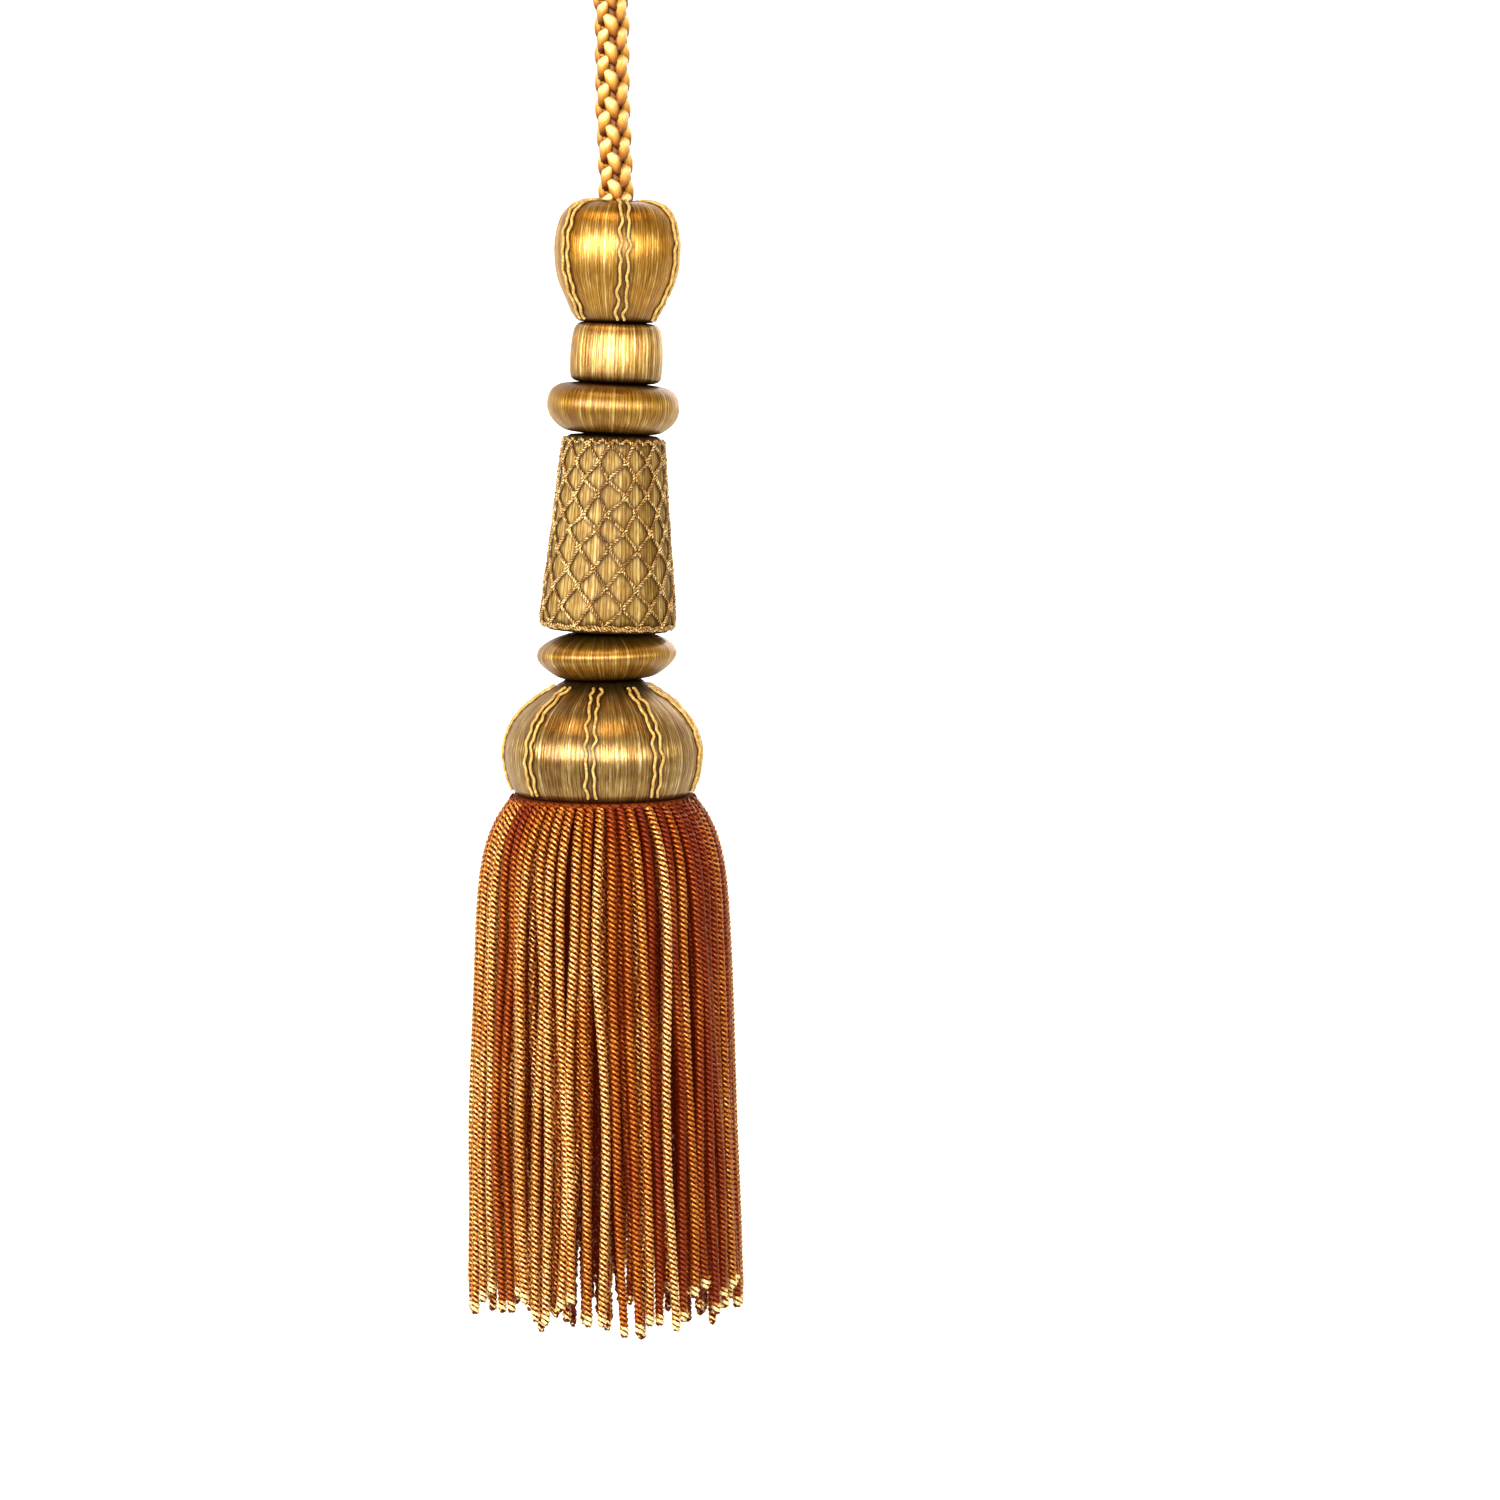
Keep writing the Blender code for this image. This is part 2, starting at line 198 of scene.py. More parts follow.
def evenly(points, steps):
    """The same line in so many equal steps."""
    lengths = [0.0]
    for start, end in zip(points, points[1:]):
        lengths.append(lengths[-1] + (end - start).length)
    spaced, span = [], 0
    for step in range(steps + 1):
        wanted = lengths[-1] * step / steps
        while span < len(points) - 2 and lengths[span + 1] < wanted:
            span += 1
        share = (wanted - lengths[span]) / (lengths[span + 1] - lengths[span])
        spaced.append(points[span].lerp(points[span + 1], share))
    return spaced


def direction_at(points, number):
    """Which way a line runs at one of its points."""
    return (points[min(number + 1, len(points) - 1)] - points[max(number - 1, 0)]).normalized()


def tube_faces(start, rows, columns):
    """Faces of a tube whose rings of points begin at start, with both its ends closed."""
    faces = []
    for row in range(rows - 1):
        for column in range(columns):
            here = start + row * columns + column
            beside = start + row * columns + (column + 1) % columns
            faces.append((here, here + columns, beside + columns, beside))
    end = start + rows * columns
    return [*faces, tuple(range(start, start + columns)), tuple(range(end - columns, end))[::-1]]


def add_mesh(name, points, faces, material, attributes):
    """A mesh object from points in millimetres, with values at its points for the material to read."""
    mesh = bpy.data.meshes.new(name)
    mesh.from_pydata([tuple(value * MM for value in point) for point in points], [], faces)
    for label, values in attributes.items():
        mesh.attributes.new(label, "FLOAT", "POINT").data.foreach_set("value", values)
    mesh.materials.append(material)
    mesh.shade_smooth()
    made = bpy.data.objects.new(name, mesh)
    bpy.context.collection.objects.link(made)
    return made


def braid_strands():
    """Cream gold rayon, with painted highlight on the crown of each lobe and painted shade, dark rust, on its
    sides and where it dives under the next one.
    """
    made, shader, wire = thread_finish(
        "Cream gold rayon strands", roughness=0.38, metallic=0.1, specular=0.45
    )
    across = wire.attribute("across")
    lengthwise = {0: across * 9.0, 1: wire.attribute("run") * 0.35}
    fibres = wire.noise(wire.node("ShaderNodeCombineXYZ", {}, lengthwise), 1.0, detail=3.0)
    # Painted light: the lobe's crown is lit, and its sides and its dive under the next lobe are in painted
    # shade.
    depth = wire.attribute("crest") - across * across * 0.22 + (fibres - 0.5) * 0.55
    tone = depth.clamped().ramp(
        (0.0, (0.07, 0.010, 0.0)), (0.3, (0.27, 0.075, 0.003)),
        (0.65, (0.58, 0.29, 0.04)), (0.95, (0.90, 0.71, 0.33)),
    )
    finish_with(shader, wire, tone, fibres, 0.00008)
    return made


route = smooth_curve([Vector((across, 0.0, height)) for across, height in CORD_ROUTE], spans=12)
cord_length = line_length(route)
steps = round(cord_length / LOBE_LENGTH * STEPS_PER_LOBE)
centres = evenly(route, steps)
points, faces = [], []
values = {"crest": [], "across": [], "run": []}
mean_radius = CORD_DIAMETER / 2 - STRAND_RISE - STRAND_HALF_THICK
for strand in range(STRANDS + 1):
    faces += tube_faces(len(points), len(centres), STRAND_SIDES)
    # Four strands go round each way, and the last one made is the core that fills the braid.
    way = 0 if strand == STRANDS else 1 if strand % 2 else -1
    for step, centre in enumerate(centres):
        sideways = direction_at(centres, step).cross(Vector((0.0, 1.0, 0.0)))
        run = cord_length * step / steps
        # A quarter turn for each lobe, which runs nearly lengthwise on top and then dives sideways.
        lobe = (run - FIRST_LOBE) / LOBE_LENGTH + (0.5 if way == -1 else 0.0)
        number = round(lobe)
        place = lobe - number
        dive = max(0.0, abs(place) - LOBE_FLAT) / (0.5 - LOBE_FLAT)
        turned = number + LOBE_SLANT * place + math.copysign((0.5 - 0.5 * LOBE_SLANT) * dive**1.5, place)
        turn = math.pi / 2 * (way * turned + strand // 2 + (0.5 if way == -1 else 0.0))
        outward = sideways * math.sin(turn) + Vector((0.0, -math.cos(turn), 0.0))
        lateral = sideways * math.cos(turn) + Vector((0.0, math.sin(turn), 0.0))
        over = math.cos(math.pi * place) ** 0.8 - dive**2
        middle = centre + outward * (mean_radius + STRAND_RISE * over if way else 0.0)
        # A lobe is broad and round at its top, and draws in to a point at its foot.
        own = random.Random(f"lobe {strand} {number}")
        fullness = (0.68 + 0.36 * math.cos(math.pi * (place - 0.2))) * own.uniform(0.9, 1.1)
        width = STRAND_HALF_WIDTH * fullness if way else CORE_RADIUS
        thick = STRAND_HALF_THICK * (0.6 + 0.4 * fullness) if way else CORE_RADIUS
        for side in range(STRAND_SIDES):
            angle = math.tau * side / STRAND_SIDES
            points.append(middle + lateral * (width * math.sin(angle)) + outward * (thick * math.cos(angle)))
            # Painted highlight on each lobe's crown, painted shade where it dives, and painted shade on the
            # dark core inside the braid.
            values["crest"].append((0.6 + 1.3 * place - 0.35 * dive) if way else 0.12)
            values["across"].append(math.sin(angle))
            values["run"].append(run + FIBRES_APART * strand)
braided_cord = add_mesh("braided_cord", points, faces, braid_strands(), values)
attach(braided_cord, "root")
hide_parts("hanging_cord")

# Whipping
# Waxed gold thread bound side by side round the two parts of the cord to close the eye.
# It is a two-ply thread, wound on an oval and tucked under its own last turn.
WHIPPING_TOP = -32.4
WHIPPING_HEIGHT = 8.2
WHIPPING_TURNS = 9
WHIPPING_THREAD = 0.92
WHIPPING_PLY = 0.26
WHIPPING_GAP = 0.2
STEPS_PER_TURN = 40


def twisted_cord_tree():
    """A node tree that lays twisted plies along every line of a mesh."""
    tree = bpy.data.node_groups.new("Twisted cord", "GeometryNodeTree")
    tree.interface.new_socket("Geometry", in_out="INPUT", socket_type="NodeSocketGeometry")
    for label, kind in (
        ("Plies", "Int"), ("Sides", "Int"), ("Cord radius", "Float"), ("Ply radius", "Float"),
        ("Twist length", "Float"), ("Step", "Float"), ("Finish", "Material"),
    ):
        tree.interface.new_socket(label, in_out="INPUT", socket_type=f"NodeSocket{kind}")
    tree.interface.new_socket("Geometry", in_out="OUTPUT", socket_type="NodeSocketGeometry")
    given = tree.nodes.new("NodeGroupInput")

    def size(label):
        return Wire(tree, given.outputs[label])

    wire = Wire(tree)

    def stored(geometry, label, kind, value):
        """The geometry with a value kept at its points under a label."""
        return wire.node(
            "GeometryNodeStoreNamedAttribute",
            {"data_type": kind, "domain": "POINT"},
            {"Geometry": geometry, "Name": label, "Value": value},
        )

    def kept(label, kind="FLOAT"):
        """A value kept at the points, from here or from the mesh."""
        return wire.node("GeometryNodeInputNamedAttribute", {"data_type": kind}, {"Name": label})

    line = wire.node("GeometryNodeMeshToCurve", {}, {"Mesh": size("Geometry")})
    line = wire.node("GeometryNodeResampleCurve", {"mode": "LENGTH"}, {"Curve": line, "Length": size("Step")})
    line = stored(line, "core", "FLOAT_VECTOR", wire.node("GeometryNodeInputPosition", {}, {}))
    line = stored(line, "run", "FLOAT", wire.node("GeometryNodeSplineParameter", {}, {}, "Length"))
    doubled = tree.nodes.new("GeometryNodeDuplicateElements")
    doubled.domain = "SPLINE"
    tree.links.new(line.socket, doubled.inputs["Geometry"])
    tree.links.new(size("Plies").socket, doubled.inputs["Amount"])
    run = wire.node("GeometryNodeSplineParameter", {}, {}, "Length")
    ply = wire.maths("DIVIDE", Wire(tree, doubled.outputs["Duplicate Index"]), size("Plies"))
    turn = (wire.maths("DIVIDE", run, size("Twist length")) + ply + kept("phase")) * math.tau
    normal = wire.node("GeometryNodeInputNormal", {}, {})
    beside = wire.vector("CROSS_PRODUCT", wire.node("GeometryNodeInputTangent", {}, {}), normal)
    reach = (size("Cord radius") - size("Ply radius")) * kept("spread")
    scale = {"operation": "SCALE"}
    forward, aside = (
        wire.node("ShaderNodeVectorMath", scale, {0: way, "Scale": wire.maths(part, turn) * reach})
        for way, part in ((normal, "COSINE"), (beside, "SINE"))
    )
    offset = wire.vector("ADD", forward, aside)
    laid = wire.node(
        "GeometryNodeSetPosition", {}, {"Geometry": Wire(tree, doubled.outputs["Geometry"]), "Offset": offset}
    )
    profile = wire.node(
        "GeometryNodeCurvePrimitiveCircle", {}, {"Resolution": size("Sides"), "Radius": size("Ply radius")}
    )
    profile = stored(profile, "around", "FLOAT", wire.node("GeometryNodeSplineParameter", {}, {}))
    tube = wire.node(
        "GeometryNodeCurveToMesh", {},
        {"Curve": laid, "Profile Curve": profile, "Scale": kept("girth"), "Fill Caps": True},
    )
    ends = {0: wire.node("GeometryNodeInputPosition", {}, {}), 1: kept("core", "FLOAT_VECTOR")}
    away = wire.node("ShaderNodeVectorMath", {"operation": "DISTANCE"}, ends, "Value")
    tube = stored(tube, "lift", "FLOAT", wire.maths("DIVIDE", away, size("Cord radius")))
    tube = wire.node("GeometryNodeSetShadeSmooth", {}, {"Geometry": tube})
    tube = wire.node("GeometryNodeRealizeInstances", {}, {"Geometry": tube})
    tube = wire.node("GeometryNodeSetMaterial", {}, {"Geometry": tube, "Material": size("Finish")})
    given_back = tree.nodes.new("NodeGroupOutput")
    tree.links.new(tube.socket, given_back.inputs["Geometry"])
    return tree


twisted_cord = twisted_cord_tree()


def lay_cords(name, lines, finish, plies, sides, cord_radius, ply_radius, twist_length, step):
    """Twisted cords along lines of (point, spread, girth, tint).

    Spread is how far the plies stand apart, girth their share of full size, and tint the cord's own tone,
    which on the bullion also carries painted shade.
    """
    points, edges = [], []
    values = {"spread": [], "girth": [], "tint": [], "phase": []}
    own = random.Random(name)
    for line in lines:
        edges += [(len(points) + row, len(points) + row + 1) for row in range(len(line) - 1)]
        phase = own.random()
        for point, *given in line:
            points.append(point)
            for numbers, value in zip(values.values(), (*given, phase)):
                numbers.append(value)
    mesh = bpy.data.meshes.new(name)
    mesh.from_pydata([tuple(value * MM for value in point) for point in points], edges, [])
    for label, numbers in values.items():
        mesh.attributes.new(label, "FLOAT", "POINT").data.foreach_set("value", numbers)
    laid = bpy.data.objects.new(name, mesh)
    bpy.context.collection.objects.link(laid)
    modifier = laid.modifiers.new("Twisted cord", "NODES")
    modifier.node_group = twisted_cord
    given = {
        "Plies": plies, "Sides": sides, "Cord radius": cord_radius * MM, "Ply radius": ply_radius * MM,
        "Twist length": twist_length * MM, "Step": step * MM, "Finish": finish,
    }
    for socket in twisted_cord.interface.items_tree:
        if socket.in_out == "INPUT" and socket.name in given:
            modifier[socket.identifier] = given[socket.name]
    whole = bpy.data.meshes.new_from_object(laid.evaluated_get(bpy.context.evaluated_depsgraph_get()))
    whole.name = name
    laid.modifiers.remove(modifier)
    laid.data = whole
    return laid


def waxed_thread():
    """Gold thread, with painted shade between its plies."""
    made, shader, wire = thread_finish(
        "Waxed whipping thread", roughness=0.45, metallic=0.0, specular=0.5, sheen=0.2
    )
    fuzz = wire.noise(wire.place(), 2600.0)
    tone = (wire.attribute("lift") * 1.2 - 0.35 + fuzz * 0.4).clamped()
    finish_with(shader, wire, tone.blend((0.16, 0.06, 0.012), (0.62, 0.36, 0.11)), fuzz, 0.00003)
    return made


half_apart = CORD_ROUTE[-2][0]
bound = CORD_DIAMETER / 2 + WHIPPING_THREAD / 2 + WHIPPING_GAP
whipping_steps = WHIPPING_TURNS * STEPS_PER_TURN
oval = []
for step in range(whipping_steps + 1):
    share = step / STEPS_PER_TURN % 1.0
    # Half of each turn goes round the cord's right part, and half round its left.
    side = 1 if share < 0.5 else -1
    angle = math.tau * share - (math.pi if side == -1 else 0.0)
    oval.append((
        Vector((
            side * (half_apart * min(1.0, 3.0 * math.sin(angle)) + bound * math.sin(angle)),
            -side * bound * math.cos(angle),
            WHIPPING_TOP - WHIPPING_HEIGHT * step / whipping_steps,
        )),
        1.0, 1.0, 0.5,
    ))
whipping = lay_cords(
    "whipping_thread", [oval], waxed_thread(), plies=2, sides=4,
    cord_radius=WHIPPING_THREAD / 2, ply_radius=WHIPPING_PLY, twist_length=2.0, step=0.45,
)
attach(whipping, "root")
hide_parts("loop_whipping")
[tuple(point * MM) for point in evenly(route, 80)]

# Floss-covered turnings
# Turned wood stacked on a core and covered with rayon floss, which runs down each piece from end to end.
# The floss lies in narrow bundles that crowd at the necks, with a thin shadow between them.
KNOB_TOP_Z = -99.0
# How far each turning's top is below the knob's seat, how far it sits aside, and its tilt in degrees.
SEATS = {
    "knob": (0.0, 1.2, 1.8),
    "spool": (29.6, 1.0, 2.5),
    "upper_ring": (44.1, 0.1, 3.1),
    "trellis_body": (56.4, -0.6, 2.0),
    "lower_ring": (103.9, -1.6, -1.6),
    "bulb": (115.2, -2.4, 0.0),
}
# Each outline is (depth, radius) from the turning's top down.
OUTLINES = {
    "knob": (
        (0.7, 8.0), (1.3, 10.4), (2.7, 12.5), (5.2, 14.1), (10.0, 15.1), (15.0, 15.0),
        (19.5, 14.1), (24.0, 12.1), (27.6, 10.2), (29.2, 8.9),
    ),
    "spool": ((0.0, 8.8), (0.8, 10.0), (3.0, 10.7), (7.5, 11.1), (12.6, 10.9), (13.7, 10.2), (14.1, 9.2)),
    "upper_ring": (
        (0.0, 10.2), (0.5, 13.0), (2.1, 15.1), (4.8, 15.9), (7.4, 15.5), (9.6, 14.0), (11.2, 11.8),
        (11.7, 9.8),
    ),
    "trellis_body": (
        (0.0, 10.4), (0.8, 11.4), (3.0, 11.9), (17.0, 13.2), (31.0, 14.6), (42.0, 15.7), (45.6, 15.5),
        (46.8, 14.4),
    ),
    "lower_ring": (
        (0.0, 9.2), (1.2, 12.8), (3.0, 15.9), (4.9, 16.9), (6.6, 16.4), (8.6, 14.5), (10.3, 12.0),
        (10.8, 10.4),
    ),
    "bulb": (
        (0.0, 9.2), (0.7, 10.1), (2.8, 13.6), (5.2, 17.2), (8.2, 20.4), (12.2, 22.9), (17.4, 24.1),
        (22.2, 23.5), (25.6, 22.4), (27.4, 21.3), (27.9, 20.2),
    ),
}
BUNDLES = {"knob": 124, "spool": 84, "upper_ring": 120, "trellis_body": 96, "lower_ring": 128, "bulb": 170}
BUNDLE_RELIEF = {
    "knob": 0.07, "spool": 0.13, "upper_ring": 0.07, "trellis_body": 0.10, "lower_ring": 0.07, "bulb": 0.08
}
ROW_SPACING = 0.9


def floss_finish(name, colours, roughness, streaks, metallic=0.8, coat=0.6):
    """Rayon floss: bundles in shades of one colour, fine threads along them, painted shade in the grooves, at
    the necks and beside cords that lie on it.
    """
    made, shader, wire = thread_finish(name, roughness, metallic, specular=0.6, anisotropic=0.7)
    shader.inputs["Specular Tint"].default_value = (0.85, 0.58, 0.24, 1.0)
    shader.inputs["Coat Weight"].default_value = coat
    shader.inputs["Coat Roughness"].default_value = 0.28
    dark, middle, pale = colours
    angle = wire.attribute("around")
    down = wire.attribute("down")
    around = (wire.maths("SINE", angle), wire.maths("COSINE", angle))
    threads = wire.noise(
        wire.node("ShaderNodeCombineXYZ", {}, {0: around[0], 1: around[1], 2: down * 0.004}), 75.0,
        roughness=0.6,
    )
    patches = wire.noise(
        wire.node("ShaderNodeCombineXYZ", {}, {0: around[0], 1: around[1], 2: down * 0.06}), 6.0
    )
    shade = wire.attribute("lift") * 0.45 + wire.attribute("tint") * streaks
    shade = shade + threads * 1.3 + patches * 0.4 - 0.9
    colour = shade.clamped().ramp((0.0, dark), (0.5, middle), (1.0, pale))
    deep = tuple(0.22 * value for value in dark)
    colour = wire.attribute("neck").blend(colour, deep)
    colour = wire.attribute("shadow").blend(colour, deep)
    finish_with(shader, wire, colour, threads, 0.0001)
    return made


def outline_curve(rows, spans):
    """A smooth line of (radius, 0, height) through rows of (depth, radius)."""
    return smooth_curve([Vector((radius, 0.0, -depth)) for depth, radius in rows], spans)


def off_surface(outline, number):
    """The way straight off a turning's surface at one point of its outline."""
    way = direction_at(outline, number)
    return Vector((-way.z, 0.0, way.x))


def about_axis(radius, turn, height):
    """A point so far from an upright axis, turned so much from the front."""
    return Vector((radius * math.sin(turn), -radius * math.cos(turn), height))


def seated(name, point):
    """A point given about a turning's own axis, moved to where the turning sits on the leaning core."""
    top, shift, tilt = SEATS[name]
    middle = OUTLINES[name][-1][0] / 2
    lean = math.radians(tilt)
    height = KNOB_TOP_Z - top - middle + middle * math.cos(lean)
    return Matrix.Rotation(lean, 3, "Y") @ point + Vector((shift + middle * math.sin(lean), 0.0, height))


def wound_turning(name, finish, neck_above, neck_below):
    """A turning in its floss, with painted shade so far into the neck at each end, which closes on its
    neighbours.
    """
    own = random.Random(f"floss {name}")
    outline = outline_curve(OUTLINES[name], spans=8)
    outline = evenly(outline, round(line_length(outline) / ROW_SPACING))
    first, last = outline[0], outline[-1]
    # Both ends run in to the core, a little past the neighbour's own end.
    outline = [
        Vector((4.0, 0.0, first.z + 0.35)), Vector((0.7 * first.x, 0.0, first.z + 0.3)), *outline,
        Vector((0.7 * last.x, 0.0, last.z - 0.3)), Vector((4.0, 0.0, last.z - 0.35)),
    ]
    widths = [own.uniform(0.6, 1.4) for _ in range(BUNDLES[name])]
    columns, angle = [], 0.0
    for width in widths:
        share = math.tau * width / sum(widths)
        high = own.uniform(0.5, 1.0)
        tint = own.random()
        columns += [(angle, 0.0, tint), (angle + 0.3 * share, high, tint), (angle + 0.7 * share, high, tint)]
        angle += share
    points = []
    values = {"around": [], "down": [], "lift": [], "tint": [], "neck": [], "shadow": []}
    for row, at in enumerate(outline):
        normal = off_surface(outline, row)
        inner = row in (0, 1, len(outline) - 2, len(outline) - 1)
        neck = max(math.exp(-((first.z - at.z) / neck_above)), math.exp(-((at.z - last.z) / neck_below)))
        for angle, high, tint in columns:
            raised = at + normal * (BUNDLE_RELIEF[name] * (high - 0.5))
            points.append(seated(name, about_axis(raised.x, angle, raised.z)))
            values["around"].append(angle)
            values["down"].append(-at.z)
            values["lift"].append(high)
            values["tint"].append(tint)
            # Painted shade at the necks, full on the rows that run in to the core.
            values["neck"].append(1.0 if inner else min(1.0, neck))
            values["shadow"].append(0.0)
    made = add_mesh(f"{name}_floss", points, tube_faces(0, len(outline), len(columns)), finish, values)
    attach(made, "root")
    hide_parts(name)


GOLD = ((0.20, 0.060, 0.001), (0.48, 0.250, 0.017), (0.92, 0.76, 0.36))
PALE_GOLD = ((0.14, 0.044, 0.002), (0.46, 0.26, 0.046), (0.86, 0.71, 0.36))
RING_GOLD = ((0.16, 0.050, 0.001), (0.40, 0.225, 0.019), (0.90, 0.79, 0.42))
OLIVE_GOLD = ((0.07, 0.022, 0.002), (0.24, 0.14, 0.026), (0.56, 0.42, 0.17))
BULB_GOLD = ((0.13, 0.043, 0.003), (0.37, 0.23, 0.052), (0.90, 0.80, 0.50))
knob_floss = floss_finish("Golden knob floss", GOLD, roughness=0.36, streaks=0.3)
spool_floss = floss_finish("Pale gold spool floss", PALE_GOLD, roughness=0.42, streaks=0.45)
ring_floss = floss_finish("Ring floss", RING_GOLD, roughness=0.5, streaks=0.25)
body_floss = floss_finish("Olive gold floss", OLIVE_GOLD, roughness=0.58, streaks=0.5, metallic=0.4, coat=0.1)
bulb_floss = floss_finish("Bulb floss", BULB_GOLD, roughness=0.38, streaks=0.25)
wound_turning("knob", knob_floss, neck_above=1.0, neck_below=1.8)
wound_turning("spool", spool_floss, neck_above=0.5, neck_below=1.6)
wound_turning("upper_ring", ring_floss, neck_above=1.4, neck_below=1.2)
wound_turning("trellis_body", body_floss, neck_above=1.2, neck_below=1.0)
wound_turning("lower_ring", ring_floss, neck_above=1.6, neck_below=1.4)
wound_turning("bulb", bulb_floss, neck_above=3.0, neck_below=0.8)

# Gimps
# Thin cords wrapped in pale rayon, couched in pairs down the knob and the bulb.
# Each pair swells apart and draws together where it is stitched down, and casts a thin dark line.

# The turning, how many pairs it has, the first one's angle, and the (depth, radius) and depth of their ends.
GIMP_SETS = (("knob", 6, 8.0, (0.7, 5.9), 28.6), ("bulb", 9, -6.0, (1.6, 11.6), 26.6))
GIMP_WAVE = 4.9
GIMP_RADIUS = 0.37
GIMP_APART = 0.95
GIMP_SWING = 0.34
GIMP_STEP = 0.45


def wrapped_gimp():
    """Pale gold rayon wrapped close round a thin cord."""
    made, shader, wire = thread_finish(
        "Pale wrapped gimp", roughness=0.36, metallic=0.15, specular=0.6, sheen=0.1
    )
    wraps = wire.maths("SINE", (wire.attribute("run") * 3300.0 + wire.attribute("around")) * math.tau)
    tone = (wraps * 0.2 + wire.noise(wire.place(), 1500.0) * 0.9).clamped().ramp(
        (0.0, (0.24, 0.085, 0.006)), (0.5, (0.58, 0.34, 0.065)), (0.9, (0.92, 0.75, 0.38))
    )
    finish_with(shader, wire, tone, wraps, 0.000012)
    return made


def on_turning(name, at, normal, angle, across, lift):
    """The place beside a line down a turning, so far across it and off its surface."""
    raised = at + normal * lift
    return seated(name, about_axis(raised.x, angle + across / max(at.x, 1.0), raised.z))


def shade_beside(floss, lines, reach):
    """Darken a floss where cords lie on it, which is how deep the grooves beside them look."""
    places = [place[0] for line in lines for place in line]
    near = KDTree(len(places))
    for number, place in enumerate(places):
        near.insert(place, number)
    near.balance()
    vertices = floss.data.vertices
    dark = [math.exp(-((near.find(vertex.co / MM)[2] / reach) ** 4)) for vertex in vertices]
    floss.data.attributes["shadow"].data.foreach_set("value", dark)


gimp_finish = wrapped_gimp()
for turned, pairs, first, start, end in GIMP_SETS:
    rows = [start, *(row for row in OUTLINES[turned] if row[0] >= start[0] and row[1] > start[1])]
    rows += [row for row in OUTLINES[turned] if row[0] > rows[-1][0]]
    curve = [point for point in outline_curve(rows, spans=12) if point.z >= -end]
    steps = round(line_length(curve) / GIMP_STEP)
    path = evenly(curve, steps)
    lines = []
    for pair in range(pairs):
        own = random.Random(f"gimp {turned} {pair}")
        angle = math.radians(first + 360.0 * pair / pairs)
        phase = own.uniform(0.0, 0.6)
        for side in (-1, 1):
            line = []
            for step, at in enumerate(path):
                down = line_length(curve) * step / steps
                wave = math.tau * down / GIMP_WAVE + phase + 0.9 * side + 0.5 * math.sin(0.37 * down)
                swing = GIMP_SWING * (0.75 + 0.45 * math.sin(0.8 * down + 2.1 * pair + side))
                across = side * (GIMP_APART - swing * math.cos(wave)) + 0.16 * math.sin(down * 0.9 + pair)
                lift = GIMP_RADIUS * (0.85 + 0.2 * math.sin(math.tau * down / GIMP_WAVE * 2))
                place = on_turning(turned, at, off_surface(path, step), angle, across, lift)
                line.append((place, 1.0, 1.0, 0.5))
            lines.append(line)
    shade_beside(bpy.data.objects[f"{turned}_floss"], lines, reach=1.0)
    gimps = lay_cords(
        f"{turned}_gimps", lines, gimp_finish, plies=1, sides=6,
        cord_radius=GIMP_RADIUS, ply_radius=GIMP_RADIUS, twist_length=5.0, step=0.4,
    )
    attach(gimps, "root")
    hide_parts(*(f"{turned}_gimp_{pair + 1}" for pair in range(pairs)))

# Trellis net
# A net of thin two-ply cord worked over the tapered body: each cord zigzags down it and is knotted to its
# neighbours where they meet. A twisted cord binds its edge above and below.
NET_ROUND = 13
NET_ROWS = 10
NET_GROWTH = 0.17
NET_TOP = 1.6
NET_BOTTOM = 45.2
NET_RADIUS = 0.43
NET_PLY = 0.24
MEETING = 0.36
MEETING_LENGTH = 0.572
# The cord's girth where it is knotted to its neighbour, and just before and after.
KNOT_GIRTH = 1.3
NEAR_KNOT_GIRTH = 1.1
EDGE_STEPS = 180


def net_cord():
    """Gold two-ply cord, with painted shade between its plies."""
    made, shader, wire = thread_finish("Net cord", roughness=0.4, metallic=0.15, specular=0.55, sheen=0.1)
    fuzz = wire.noise(wire.place(), 1800.0)
    tone = wire.attribute("lift") * 1.7 + wire.attribute("tint") * 0.3 + fuzz * 1.5 - 1.9
    colour = tone.clamped().ramp(
        (0.0, (0.07, 0.014, 0.001)), (0.45, (0.34, 0.16, 0.022)), (0.9, (0.92, 0.74, 0.36))
    )
    finish_with(shader, wire, colour, fuzz, 0.00004)
    return made


net_curve = outline_curve(OUTLINES["trellis_body"], spans=12)


def on_net(height, across, angle, lift):
    """A place on the net: height below the body's top, distance across from an angle, and off the floss."""
    radius = next(
        low.x + (high.x - low.x) * (height - low.z) / (high.z - low.z)
        for high, low in zip(net_curve, net_curve[1:])
        if low.z <= height <= high.z and high.z > low.z
    )
    return seated("trellis_body", about_axis(radius + lift, angle + across / radius, height))


def net_row(row):
    """The height of a row of meetings, which lie closer together at the top."""
    down_net = row / NET_ROWS
    down_net *= 1.0 - NET_GROWTH / 2 * (1.0 - down_net)
    return -(NET_TOP + (NET_BOTTOM - NET_TOP) * down_net)


